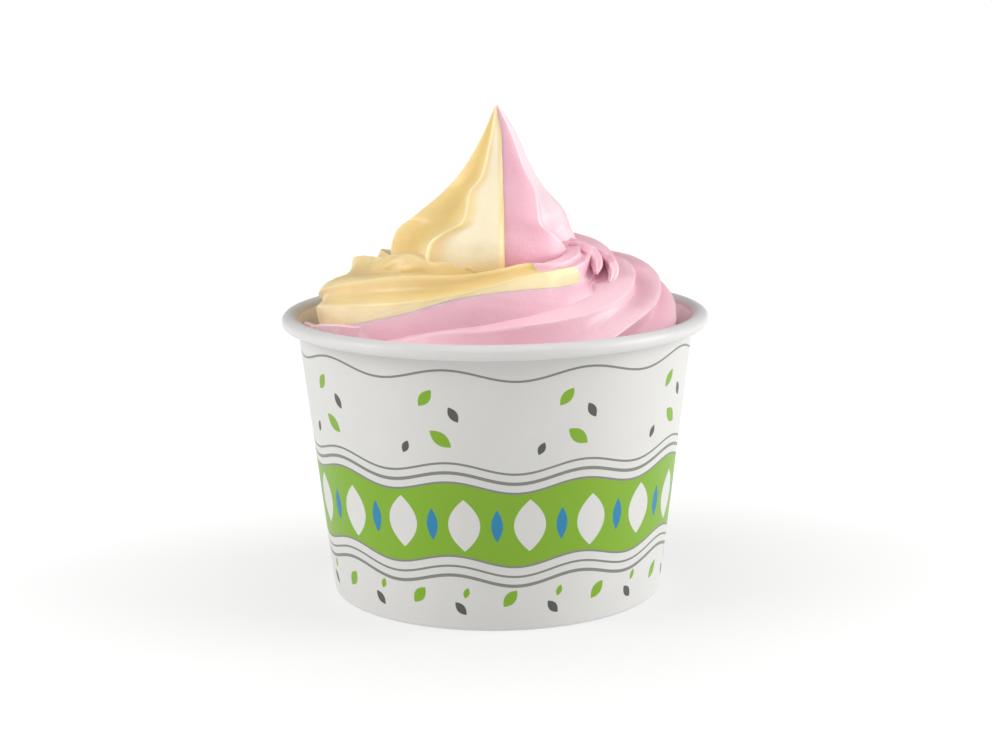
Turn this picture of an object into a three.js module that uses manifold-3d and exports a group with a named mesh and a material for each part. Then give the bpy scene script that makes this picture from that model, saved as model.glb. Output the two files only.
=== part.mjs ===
// A paper cup of two-flavour frozen yogurt, piped as one ridged rope that coils up to a tall peak.
// Millimetres, +Z up, origin at the centre of the cup's foot. The front of the cup faces -Y.
import * as THREE from 'three';
import { ParametricGeometry } from 'three/addons/geometries/ParametricGeometry.js';
import { mergeVertices } from 'three/addons/utils/BufferGeometryUtils.js';
import Module from 'manifold-3d';

// Driving dimensions of the paper cup
const cupHeight = 64;
const rimRadius = 48;
const rollHalfWidth = 1.85;
const rollHalfHeight = 1.65;
const rollSteps = 9;
const rollTurn = 300;
const paper = 0.5;
const footRadius = 37.45;
const wallTopRadius = 44.45;
const wallTopHeight = 60.9;
const wallFootHeight = 1.1;
const hemWidth = 2.1;
const hemHeight = 5;
const hemCorner = 0.4;
const baseHeight = 6.25;
const skirtHeight = 1.3;
const skirtFlare = 0.15;
const baseCornerWidth = 0.6;
const baseCornerHeight = 0.7;
const clearance = 0.3;
const turnSegments = 60;

// Driving dimensions of the fill inside the cup
const fillHeight = 53;
const fillShoulder = 2.5;
const fillCorner = 0.75;

// The coil: angle round the cup in degrees (-90 is the front, each turn adds 360),
// the radius of the coil, the height of the rope's middle and the rope's own radius.
const coil = [
  [-240, 25.5, 44.0, 9.0],
  [-190, 26.0, 49.5, 13.0],
  [-123, 26.2, 53.0, 14.3],
  [-90, 26.8, 55.6, 14.0],
  [0, 27.0, 61.8, 13.9],
  [45, 27.0, 62.0, 13.4],
  [90, 26.6, 62.3, 13.0],
  [140, 27.0, 62.6, 13.0],
  [180, 27.2, 63.5, 13.1],
  [270, 23.0, 66.0, 12.0],
  [312, 21.0, 66.6, 12.1],
  [340, 18.8, 67.8, 12.0],
  [364, 17.5, 68.4, 11.8],
  [400, 15.5, 70.0, 10.5],
  [444, 13.5, 71.0, 8.5],
];

// The nozzle has eight teeth, so the rope has eight ridges. They shift round the rope as it coils.
// Angle round the cup, the headings of the ridges, and the heading at which the yellow side ends.
// A heading is an angle round the nozzle, which keeps its own heading while the cup turns.
const ridges = [
  [-240, 0, 45, 90, 135, 168, 190, 212, 290, 180],
  [-140, 0, 45, 90, 135, 168, 190, 212, 290, 180],
  [-115, 0, 45, 90, 135, 168, 190, 213, 296, 184],
  [-90, 0, 45, 90, 135, 174, 206, 237, 302, 190],
  [-64, 0, 45, 90, 135, 180, 222, 265, 304, 190],
  [-45, 0, 45, 90, 135, 180, 225, 280, 306, 190],
  [-20, 0, 45, 90, 135, 180, 225, 288, 319, 190],
  [30, 0, 45, 90, 135, 180, 225, 284, 336, 190],
  [130, 5, 46, 88, 128, 174, 208, 286, 330, 200],
  [180, 10, 50, 84, 114, 173, 191, 290, 332, 215],
  [211, 14, 55, 92, 130, 181, 207, 296, 334, 227],
  [235, 17, 60, 98, 146, 192, 224, 302, 337, 236],
  [255, 20, 65, 104, 156, 209, 235, 306, 340, 239],
  [272, 24, 70, 110, 165, 219, 241, 310, 343, 250],
  [285, 28, 74, 116, 170, 226, 246, 312, 346, 261],
  [300, 33, 79, 123, 174, 245, 257, 314, 348, 276],
  [311, 36, 82, 128, 178, 254, 267, 316, 350, 286],
  [331, 42, 87, 134, 184, 263, 277, 320, 355, 296],
  [444, 45, 90, 138, 190, 266, 280, 320, 357, 300],
];
// Angle round the cup and the heading at which the yellow side starts. At the end it narrows to a strip.
const yellowStart = [
  [-240, 45],
  [130, 46],
  [211, 55],
  [255, 65],
  [274, 71],
  [283, 170],
  [290, 238],
  [300, 253],
  [311, 263],
];
const ridgeCount = 8;
const edgeColumn = 9;
const firstYellowRidge = 1;
const lastYellowRidge = 5;
const yellowEnd = 309;
const ridgeHeading = 13;
const ridgeDepth = 0.22;
const ridgeSharpness = 0.08;
const ridgeSkew = 0.65;
const valleyParts = [1, 1, 1, 1, 1, 0.4, 1, 1];
const pointsPerRidge = 3;
const coilStep = 12;
// The rings lie closer where the yellow narrows to its strip.
const fineFrom = 264;
const fineTo = 300;
const fineStep = 4;
const partTurn = 144;
// The rope stays this far from the cup's axis, where the turns would cross themselves.
const coilCore = 4;

// The section of the yellow side: points from its last ridge to its edge and from there to its
// middle, and the least distance in degrees between two points.
const edgePoints = 2;
const chordPoints = 1;
const edgeSpread = 0.2;
const yellowMiddleReach = 0.3;
// The cutter for the pink side is longer in degrees, and fatter at its corners.
const cutterOverrun = 1.5;
const cutterCorner = 2.6;

// Valleys narrower than this are less deep, and very wide ones are a little flatter.
const fullGap = 40;
const wideFrom = 50;
const wideTo = 90;
const wideEasing = 0.3;

// The peak: height, radius at the ridges and how far its middle stands off the axis.
const peakProfile = [
  [66.0, 14.0, -1.0],
  [71.0, 17.0, -1.6],
  [74.0, 19.4, -1.9],
  [77.0, 20.9, -2.1],
  [79.5, 20.6, -2.2],
  [82.5, 19.3, -2.1],
  [86.0, 16.9, -0.7],
  [91.0, 11.6, 0.5],
  [97.0, 7.2, 1.3],
  [103.0, 4.0, 1.6],
  [107.5, 1.6, 1.2],
  [109.6, 0.3, 0.9],
];
// Height, and the angles from the front of the ridge left of the split and of the next two.
// The other ridges are spread evenly over the rest of the turn.
const peakRidges = [
  [66.0, -28, 60, 94],
  [73.0, -28, 60, 94],
  [75.5, -35, 62, 93],
  [79.5, -37, 59, 92],
  [81.5, -35, 54, 94],
  [83.5, -28, 45, 99],
  [85.2, -21, 39, 105],
  [88.0, -23, 42, 109],
  [91.5, -31, 50, 112],
  [94.5, -25, 48, 112],
  [97.0, -26, 46, 110],
  [103.0, -30, 44, 108],
  [109.6, -30, 44, 108],
];
const peakRidgeCount = 6;
const peakDepth = 0.2;
const peakTipPart = 0.55;
const peakThinFrom = 90;
const peakThinTo = 108;
const peakSharpness = 0.06;
const peakSkew = 0.9;
const peakParts = [0.5, 1, 1, 1, 1, 1];
const peakPointsPerRidge = 4;
const peakRings = [66, 71, 74, 76, 78, 79.5, 81, 82.5, 84.5, 87, 90, 94, 98.5, 103, 106.5, 109.6];
const flavourSplit = 2.2;
const splitBlock = 80;
const splitOverlap = 5;

// A fold of yellow that lies between the peak and the coil: x, y, height and radius along it.
const fold = [
  [-26.5, -7.5, 73.0, 0.6],
  [-23.0, -10.5, 75.0, 2.5],
  [-18.8, -13.5, 75.3, 3.3],
  [-14.3, -16.4, 74.2, 3.2],
  [-10.3, -18.8, 72.4, 2.2],
  [-7.0, -20.3, 70.6, 0.7],
];
const foldSides = 8;

// A lip of pink that leans on the wall: angle round the cup, radius and height of its edge.
const lip = [
  [168, 42.2, 52.5],
  [176, 42.9, 58.5],
  [184, 43.1, 61.8],
  [193, 43.0, 62.8],
  [203, 42.2, 63.6],
  [212, 39.8, 64.3],
  [221, 37.2, 64.3],
  [230, 35.0, 63.0],
  [240, 34.5, 55.0],
];
const lipFoot = 47;
const lipInner = 29;
const lipInnerHeight = 57;
const lipThickness = 1;
const lipSlopeWidth = 4;
const lipSlopeHeight = 3;
const lipClearance = 0.7;

const weldDistance = 1e-4;
const degrees = THREE.MathUtils.degToRad;
const smooth = THREE.MathUtils.smoothstep;

// A smooth curve through rows of [place, value, value, ...], read at one place.
function along(rows, place, column) {
  const last = rows.length - 1;
  const x = THREE.MathUtils.clamp(place, rows[0][0], rows[last][0]);
  let i = 0;
  while (i < last - 1 && x > rows[i + 1][0]) i += 1;
  const slope = (k) => {
    const before = rows[Math.max(k - 1, 0)];
    const after = rows[Math.min(k + 1, last)];
    return (after[column] - before[column]) / (after[0] - before[0]);
  };
  const span = rows[i + 1][0] - rows[i][0];
  const t = (x - rows[i][0]) / span;
  const start = (1 + 2 * t) * (1 - t) ** 2;
  const startSlope = t * (1 - t) ** 2;
  const endSlope = t ** 2 * (t - 1);
  return start * rows[i][column] + (1 - start) * rows[i + 1][column]
    + span * (startSlope * slope(i) + endSlope * slope(i + 1));
}

// How deep the surface lies at an angle: 0 on a ridge, up to 1 in the valley between two ridges.
// Part is each valley's own share of the depth, and skew moves its floor towards the ridge before it.
function hollow(crests, angle, parts, sharpness, skew) {
  const place = crests[0] + THREE.MathUtils.euclideanModulo(angle - crests[0], 360);
  const ends = [...crests, crests[0] + 360];
  const i = Math.max(ends.findIndex((end) => end > place) - 1, 0);
  const gap = ends[i + 1] - ends[i];
  const bend = Math.hypot(Math.sin(Math.PI * ((place - ends[i]) / gap) ** skew), sharpness);
  const wave = (bend - sharpness) / (Math.hypot(1, sharpness) - sharpness);
  return wave * parts[i] * Math.min(gap / fullGap, 1) * (1 - wideEasing * smooth(gap, wideFrom, wideTo));
}

const wasm = await Module();
wasm.setup();

// A closed geometry as a solid that can be joined and cut.
function solidOf(geometry) {
  const bare = geometry.clone();
  bare.deleteAttribute('normal');
  bare.deleteAttribute('uv');
  const merged = mergeVertices(bare, weldDistance);
  const index = merged.index.array;
  const triVerts = [];
  for (let i = 0; i < index.length; i += 3) {
    const [a, b, c] = [index[i], index[i + 1], index[i + 2]];
    if (a !== b && b !== c && c !== a) triVerts.push(a, b, c);
  }
  return new wasm.Manifold(new wasm.Mesh({
    numProp: 3,
    vertProperties: merged.attributes.position.array,
    triVerts: new Uint32Array(triVerts),
  }));
}

function geometryOf(solid) {
  const mesh = solid.getMesh();
  const geometry = new THREE.BufferGeometry();
  geometry.setAttribute('position', new THREE.BufferAttribute(new Float32Array(mesh.vertProperties), 3));
  geometry.setIndex(new THREE.BufferAttribute(new Uint32Array(mesh.triVerts), 1));
  geometry.computeVertexNormals();
  return geometry;
}

// The largest body of a solid. Crumbs that a cut leaves loose are dropped.
function largestBody(solid) {
  return solid.decompose().reduce((best, body) => (body.volume() > best.volume() ? body : best));
}

// A solid swept through rings of points, closed to its own middle at both ends.
// pointOf(k, i) gives point k of ring i, and middleOf(i) the middle of ring i.
function sweptSolid(pointOf, middleOf, ringPoints, ringCount) {
  const stacks = ringCount + 1;
  const surface = (u, v, target) => {
    const k = Math.round(u * ringPoints) % ringPoints;
    const i = Math.round(v * stacks);
    if (i === 0) target.copy(middleOf(0));
    else if (i === stacks) target.copy(middleOf(ringCount - 1));
    else target.copy(pointOf(k, i - 1));
  };
  return solidOf(new ParametricGeometry(surface, ringPoints, stacks));
}

// A point given by its angle round the cup's axis in degrees, its radius and its height.
function around(azimuth, radius, height) {
  const angle = degrees(azimuth);
  return new THREE.Vector3(radius * Math.cos(angle), radius * Math.sin(angle), height);
}

// A sheet of paper as a profile to turn: the line of its middle, thickened to both sides.
function sheetProfile(line, thickness) {
  const side = (sign) => line.map((point, i) => {
    const before = line[Math.max(i - 1, 0)];
    const after = line[Math.min(i + 1, line.length - 1)];
    const first = point.clone().sub(before).normalize();
    const second = after.clone().sub(point).normalize();
    if (i === 0) first.copy(second);
    if (i === line.length - 1) second.copy(first);
    const direction = first.clone().add(second).normalize();
    const stretch = 1 / direction.dot(first);
    const normal = new THREE.Vector2(direction.y, -direction.x);
    return point.clone().addScaledVector(normal, sign * stretch * thickness / 2);
  });
  const outline = [...side(1), ...side(-1).reverse()];
  return [...outline, outline[0].clone()];
}

// A profile of (radius, height) points turned round the cup's axis.
function turned(profile) {
  return new THREE.LatheGeometry(profile, turnSegments).rotateX(Math.PI / 2);
}

const halfPaper = paper / 2;
const wallFootRadius = footRadius - halfPaper;
const wallSlope = (wallTopRadius - footRadius) / (wallTopHeight - wallFootHeight);

function wallInnerRadius(height) {
  return wallFootRadius - halfPaper + wallSlope * (height - wallFootHeight);
}

// The wall is one sheet: folded inwards and up at the foot, and rolled outwards at the rim.
function cupWall() {
  const foldRadius = footRadius - hemWidth + halfPaper;
  const point = (r, z) => new THREE.Vector2(r, z);
  const line = [
    point(foldRadius, hemHeight),
    point(foldRadius, wallFootHeight),
    point(foldRadius + hemCorner, halfPaper),
    point(wallFootRadius - hemCorner, halfPaper),
    point(wallFootRadius, wallFootHeight),
    point(wallTopRadius - halfPaper, wallTopHeight),
  ];
  const rollMiddle = point(rimRadius - rollHalfWidth, cupHeight - rollHalfHeight);
  for (let i = 0; i <= rollSteps; i += 1) {
    const angle = degrees(180 - rollTurn * i / rollSteps);
    line.push(point(
      rollMiddle.x + (rollHalfWidth - halfPaper) * Math.cos(angle),
      rollMiddle.y + (rollHalfHeight - halfPaper) * Math.sin(angle),
    ));
  }
  return turned(sheetProfile(line, paper));
}

// The base is a disc whose edge is turned down between the wall and the wall's fold.
function cupBase() {
  const discHeight = baseHeight - halfPaper;
  const skirtRadius = wallInnerRadius(wallFootHeight) - clearance - halfPaper;
  const skirtTop = skirtRadius + skirtFlare;
  const profile = sheetProfile([
    new THREE.Vector2(skirtRadius, skirtHeight),
    new THREE.Vector2(skirtTop, discHeight - baseCornerHeight),
    new THREE.Vector2(skirtTop - baseCornerWidth, discHeight),
    new THREE.Vector2(0, discHeight),
  ], paper);
  profile.forEach((point) => point.setX(Math.max(point.x, 0)));
  return turned(profile);
}

// The fill below the rim, a little clear of the wall and the base.
function fill() {
  const floor = baseHeight + clearance;
  const edge = (height) => wallInnerRadius(height) - clearance;
  const shoulderCorner = fillShoulder - fillCorner;
  return solidOf(turned([
    new THREE.Vector2(0, floor),
    new THREE.Vector2(edge(floor), floor),
    new THREE.Vector2(edge(fillHeight - fillShoulder), fillHeight - fillShoulder),
    new THREE.Vector2(edge(fillHeight) - fillCorner, fillHeight - shoulderCorner / 2),
    new THREE.Vector2(edge(fillHeight) - fillShoulder, fillHeight),
    new THREE.Vector2(0, fillHeight),
  ]));
}

function crestsAt(turn) {
  return Array.from({ length: ridgeCount }, (_, i) => along(ridges, turn, i + 1));
}

// The angle of point k round a ring that has a point on every ridge and the same number between.
function angleOf(crests, k, points) {
  const i = Math.floor(k / points);
  const next = i + 1 < crests.length ? crests[i + 1] : crests[0] + 360;
  return crests[i] + (next - crests[i]) * (k % points) / points;
}

// A point of the rope: turn is the angle round the cup, heading the angle round the nozzle,
// reach 1 on the rope's surface and 0 at its middle, and swell is added outside the surface.
function ropePoint(turn, heading, reach, swell) {
  const coilRadius = along(coil, turn, 1);
  const height = along(coil, turn, 2);
  const deep = ridgeDepth * hollow(crestsAt(turn), heading, valleyParts, ridgeSharpness, ridgeSkew);
  const surface = along(coil, turn, 3) * (1 - deep) + swell;
  const angle = degrees(turn + ridgeHeading - heading);
  const r = Math.max(coilRadius + reach * surface * Math.cos(angle), coilCore - swell);
  return around(turn, r, height + reach * surface * Math.sin(angle));
}

const coilStart = coil[0][0];
const coilEnd = coil[coil.length - 1][0];

// A length of rope is made in part turns, which are joined, because whole turns lie in each other.
// pointOf(k, turn) gives point k of the section at that turn, and middleOf(turn) its middle.
// Overrun, in degrees, makes the rope longer at both ends.
function coiledSolid(pointOf, middleOf, ringPoints, end, overrun) {
  let joined = null;
  for (let start = coilStart; start < end; start += partTurn) {
    const stop = Math.min(start + partTurn, end);
    const turns = [];
    if (overrun && start === coilStart) turns.push(start - overrun);
    const stepAt = (turn) => (turn >= fineFrom && turn < fineTo ? fineStep : coilStep);
    for (let turn = start; turn < stop; turn += stepAt(turn)) turns.push(turn);
    turns.push(stop);
    if (overrun && stop === end) turns.push(stop + overrun);
    const length = sweptSolid(
      (k, i) => pointOf(k, turns[i]),
      (i) => middleOf(turns[i]),
      ringPoints,
      turns.length,
    );
    joined = joined ? joined.add(length) : length;
  }
  return joined;
}

// The whole rope, ridges all round.
function rope() {
  return coiledSolid(
    (k, turn) => ropePoint(turn, angleOf(crestsAt(turn), k, pointsPerRidge), 1, 0),
    (turn) => ropePoint(turn, 0, 0, 0),
    ridgeCount * pointsPerRidge,
    coilEnd,
    0,
  );
}

// The yellow side of the rope, from its middle out to the surface. Swell makes it fatter all
// round, which gives the cutter for the pink side.
function yellowRope(swell) {
  const whole = (lastYellowRidge - firstYellowRidge) * pointsPerRidge;
  const arc = whole + edgePoints;
  const middleAt = (turn) => (along(yellowStart, turn, 1) + along(ridges, turn, edgeColumn)) / 2;
  const headingAt = (turn, k) => {
    const crests = crestsAt(turn);
    const edge = along(ridges, turn, edgeColumn);
    const last = crests[lastYellowRidge];
    const free = k < whole
      ? angleOf(crests, firstYellowRidge * pointsPerRidge + k, pointsPerRidge)
      : last + (edge - last) * (k - whole) / edgePoints;
    const before = Math.min(free, edge - edgeSpread * (arc - k));
    return Math.max(before, along(yellowStart, turn, 1) + edgeSpread * k);
  };
  const pointOf = (k, turn) => {
    const onArc = k <= arc;
    const inside = k > 0 && k < arc;
    const middle = middleAt(turn);
    const heading = onArc ? headingAt(turn, k) : middle;
    const point = ropePoint(turn, heading, onArc ? 1 : 0, inside ? swell : cutterCorner * swell);
    if (inside) return point;
    const angle = degrees(turn + ridgeHeading - middle - 180);
    const outwards = around(turn, swell * Math.cos(angle), swell * Math.sin(angle));
    return point.add(outwards);
  };
  const overrun = swell > 0 ? cutterOverrun : 0;
  const middleOf = (turn) => ropePoint(turn, middleAt(turn), yellowMiddleReach, 0);
  return coiledSolid(pointOf, middleOf, arc + 1 + chordPoints, yellowEnd, overrun);
}

// A point of the peak, by its height and its angle from the front.
function peakPoint(height, k, swell) {
  const [left, right, third] = [1, 2, 3].map((column) => along(peakRidges, height, column));
  const others = peakRidgeCount - 2;
  const crests = [left, right];
  for (let i = 0; i < others; i += 1) crests.push(third + (left + 360 - third) * i / others);
  const away = angleOf(crests, k, peakPointsPerRidge);
  const thin = 1 - (1 - peakTipPart) * smooth(height, peakThinFrom, peakThinTo);
  const deep = peakDepth * thin * hollow(crests, away, peakParts, peakSharpness, peakSkew);
  const point = around(away - 90, along(peakProfile, height, 1) * (1 - deep) + swell, height);
  return point.setX(point.x + along(peakProfile, height, 2));
}

function peak(swell) {
  return sweptSolid(
    (k, i) => peakPoint(peakRings[i], k, swell),
    (i) => new THREE.Vector3(along(peakProfile, peakRings[i], 2), 0, peakRings[i] + (i ? swell : -swell)),
    peakRidgeCount * peakPointsPerRidge,
    peakRings.length,
  );
}

// Everything to the left of the plane that parts the flavours in the peak.
function leftOf(x) {
  const block = new THREE.BoxGeometry(splitBlock, splitBlock, splitBlock);
  return solidOf(block.translate(x - splitBlock / 2, 0, peakRings[0] + splitBlock / 2 - splitOverlap));
}

// The small fold beside the peak, a round roll that tapers to both ends.
function foldRoll(swell) {
  const centre = (i) => new THREE.Vector3(...fold[i]);
  const last = fold.length - 1;
  const pointOf = (k, i) => {
    const direction = centre(Math.min(i + 1, last)).sub(centre(Math.max(i - 1, 0))).normalize();
    const side = new THREE.Vector3(-direction.y, direction.x, 0).normalize();
    const up = direction.clone().cross(side);
    const angle = 2 * Math.PI * k / foldSides;
    const radius = fold[i][3] + swell;
    return centre(i)
      .addScaledVector(side, radius * Math.cos(angle))
      .addScaledVector(up, radius * Math.sin(angle));
  };
  return sweptSolid(pointOf, centre, foldSides, fold.length);
}

// The lip fills the place between the rope and the wall up to its own thin edge.
function wallLip() {
  const sectionOf = (i) => {
    const [azimuth, radius, height] = lip[i];
    return [
      [wallInnerRadius(lipFoot) - lipClearance, lipFoot],
      [lipInner, lipFoot],
      [lipInner, Math.min(lipInnerHeight, height - lipSlopeWidth)],
      [radius - lipSlopeWidth, height - lipSlopeHeight],
      [radius - lipThickness, height],
      [radius, height],
    ].map(([r, z]) => around(azimuth, r, z));
  };
  const middleOf = (i) => {
    const [azimuth] = lip[i];
    return around(azimuth, (lipInner + wallInnerRadius(lipFoot)) / 2, lipFoot + lipThickness);
  };
  return sweptSolid((k, i) => sectionOf(i)[k], middleOf, sectionOf(0).length, lip.length);
}

// Yellow is its side of the rope and of the peak. Pink is the rest, a hair clear of the yellow.
function yogurts() {
  const yellow = yellowRope(0).add(peak(0).intersect(leftOf(flavourSplit))).add(foldRoll(0));
  const cutter = yellowRope(clearance)
    .add(peak(clearance).intersect(leftOf(flavourSplit + clearance)))
    .add(foldRoll(clearance));
  const whole = fill().add(rope()).add(peak(0)).add(wallLip());
  return { yellow: largestBody(yellow), pink: largestBody(whole.subtract(cutter)) };
}

function material(color, roughness) {
  return new THREE.MeshStandardMaterial({ color, roughness, metalness: 0 });
}

function piece(name, geometry, look) {
  const mesh = new THREE.Mesh(geometry, look);
  mesh.name = name;
  return mesh;
}

const coatedPaper = material('#f1f0ec', 0.45);
const pinkYogurt = material('#edb3c3', 0.5);
const yellowYogurt = material('#f0d190', 0.5);

const { yellow, pink } = yogurts();

const cup = new THREE.Group();
cup.add(piece('cup_wall', cupWall(), coatedPaper));
cup.add(piece('cup_base', cupBase(), coatedPaper));

const dessert = new THREE.Group();
dessert.add(piece('yogurt_pink', geometryOf(pink), pinkYogurt));
dessert.add(piece('yogurt_yellow', geometryOf(yellow), yellowYogurt));

const part = new THREE.Group();
part.add(cup, dessert);
export default part;
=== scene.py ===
import math

import bmesh
import bpy
import numpy as np
from mathutils import Matrix, Vector


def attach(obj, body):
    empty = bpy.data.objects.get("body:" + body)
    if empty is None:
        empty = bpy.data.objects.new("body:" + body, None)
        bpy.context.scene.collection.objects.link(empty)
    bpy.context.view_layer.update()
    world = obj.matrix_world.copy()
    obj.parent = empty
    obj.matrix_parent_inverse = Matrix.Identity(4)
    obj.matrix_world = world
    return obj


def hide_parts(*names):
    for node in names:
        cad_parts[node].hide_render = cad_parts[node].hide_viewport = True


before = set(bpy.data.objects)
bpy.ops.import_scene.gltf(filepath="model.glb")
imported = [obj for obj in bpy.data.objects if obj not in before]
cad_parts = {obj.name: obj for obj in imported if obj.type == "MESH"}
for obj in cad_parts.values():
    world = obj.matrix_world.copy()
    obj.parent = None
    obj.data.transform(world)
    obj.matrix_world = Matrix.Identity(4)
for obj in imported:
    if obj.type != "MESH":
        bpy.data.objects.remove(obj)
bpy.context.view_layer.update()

mm = 0.001
imageWidth = 992  # the photograph's frame is 992 x 744


# Colour and node helpers

def linear(hexColour):
    channels = [int(hexColour[i:i + 2], 16) / 255 for i in (1, 3, 5)]
    return [c / 12.92 if c <= 0.04045 else ((c + 0.055) / 1.055) ** 2.4 for c in channels] + [1.0]


def addNode(tree, kind, inputs=(), output=0, **settings):
    # inputs are values or the sockets that feed them, in order or by a socket's name or number
    node = tree.nodes.new("ShaderNode" + kind)
    for name, value in settings.items():
        setattr(node, name, value)
    for name, value in inputs.items() if isinstance(inputs, dict) else enumerate(inputs):
        if isinstance(value, bpy.types.NodeSocket):
            tree.links.new(value, node.inputs[name])
        else:
            node.inputs[name].default_value = value
    return node.outputs[output] if node.outputs else node


def newMaterial(name):
    material = bpy.data.materials.new(name)
    material.use_nodes = True
    material.node_tree.nodes.clear()
    return material, material.node_tree


# Shape helpers, in millimetres

def smoothStep(x, low, high):
    t = np.clip((x - low) / (high - low), 0, 1)
    return t * t * (3 - 2 * t)


def along(rows, place, column):
    # a smooth curve through rows of (place, value, value, ...)
    table = np.array(rows, float)
    x, y = table[:, 0], table[:, column]
    slopes = np.empty(len(x))
    slopes[1:-1] = (y[2:] - y[:-2]) / (x[2:] - x[:-2])
    slopes[0] = (y[1] - y[0]) / (x[1] - x[0])
    slopes[-1] = (y[-1] - y[-2]) / (x[-1] - x[-2])
    place = np.clip(place, x[0], x[-1])
    i = np.clip(np.searchsorted(x, place, "right") - 1, 0, len(x) - 2)
    span = x[i + 1] - x[i]
    t = (place - x[i]) / span
    start = (1 + 2 * t) * (1 - t) ** 2
    bend = t * (1 - t) ** 2 * slopes[i] + t * t * (t - 1) * slopes[i + 1]
    return start * y[i] + (1 - start) * y[i + 1] + span * bend


def meshObject(name, vertices, faces):
    mesh = bpy.data.meshes.new(name)
    mesh.from_pydata([tuple(v) for v in np.asarray(vertices) * mm], [], faces)
    mesh.update()
    piece = bpy.data.objects.new(name, mesh)
    bpy.context.scene.collection.objects.link(piece)
    return piece


def sweptObject(name, rings, startMiddle, endMiddle):
    # rings is (rings, points, 3): a closed solid through the rings, fanned to a middle at both ends
    ringCount, pointCount, _ = rings.shape
    vertices = np.vstack([rings.reshape(-1, 3), startMiddle, endMiddle])
    first, last = ringCount * pointCount, ringCount * pointCount + 1
    k = np.arange(pointCount)
    nextK = (k + 1) % pointCount
    faces = []
    for i in range(ringCount - 1):
        a, b = i * pointCount + k, i * pointCount + nextK
        faces += np.stack([a, b, b + pointCount, a + pointCount], 1).tolist()
    tail = (ringCount - 1) * pointCount
    faces += np.stack([nextK, k, np.full(pointCount, first)], 1).tolist()
    faces += np.stack([tail + k, tail + nextK, np.full(pointCount, last)], 1).tolist()
    return meshObject(name, vertices, faces)


def turnedObject(name, profile, angles, radiusShift=None):
    # a closed profile of (radius, height) turned round the cup's axis at the given angles
    profile = np.asarray(profile)
    angle, radius = np.meshgrid(angles, profile[:, 0], indexing="ij")
    height = np.broadcast_to(profile[:, 1], radius.shape)
    if radiusShift is not None:
        radius = radius + radiusShift(angle, height, np.arange(len(profile))[None, :])
    vertices = np.stack([radius * np.sin(angle), -radius * np.cos(angle), height], -1).reshape(-1, 3)
    count = len(profile)
    k = np.arange(count)
    nextK = (k + 1) % count
    faces = []
    for i in range(len(angles)):
        here, there = i * count, (i + 1) % len(angles) * count
        faces += np.stack([here + nextK, here + k, there + k, there + nextK], 1).tolist()
    return meshObject(name, vertices, faces)


def cut(piece, others, operation):
    # joins or cuts piece with the others, which are then removed
    for other in others:
        modifier = piece.modifiers.new("cut", "BOOLEAN")
        modifier.operation = operation
        modifier.solver = "MANIFOLD"
        modifier.object = other
    graph = bpy.context.evaluated_depsgraph_get()
    mesh = bpy.data.meshes.new_from_object(piece.evaluated_get(graph))
    piece.modifiers.clear()
    piece.data = mesh
    for other in others:
        bpy.data.objects.remove(other)
    return piece


def copyOf(piece, name):
    twin = piece.copy()
    twin.data = piece.data.copy()
    twin.name = name
    bpy.context.scene.collection.objects.link(twin)
    return twin


def shadeSmooth(piece, sharpDegrees):
    piece.data.polygons.foreach_set("use_smooth", [True] * len(piece.data.polygons))
    piece.data.set_sharp_from_angle(angle=math.radians(sharpDegrees))


# The yogurt's form. The solids of the frame have these sizes too, in coarser steps and without the waves, the
# deeper valleys, the full width of the peak's foot and the pink folds.

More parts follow.
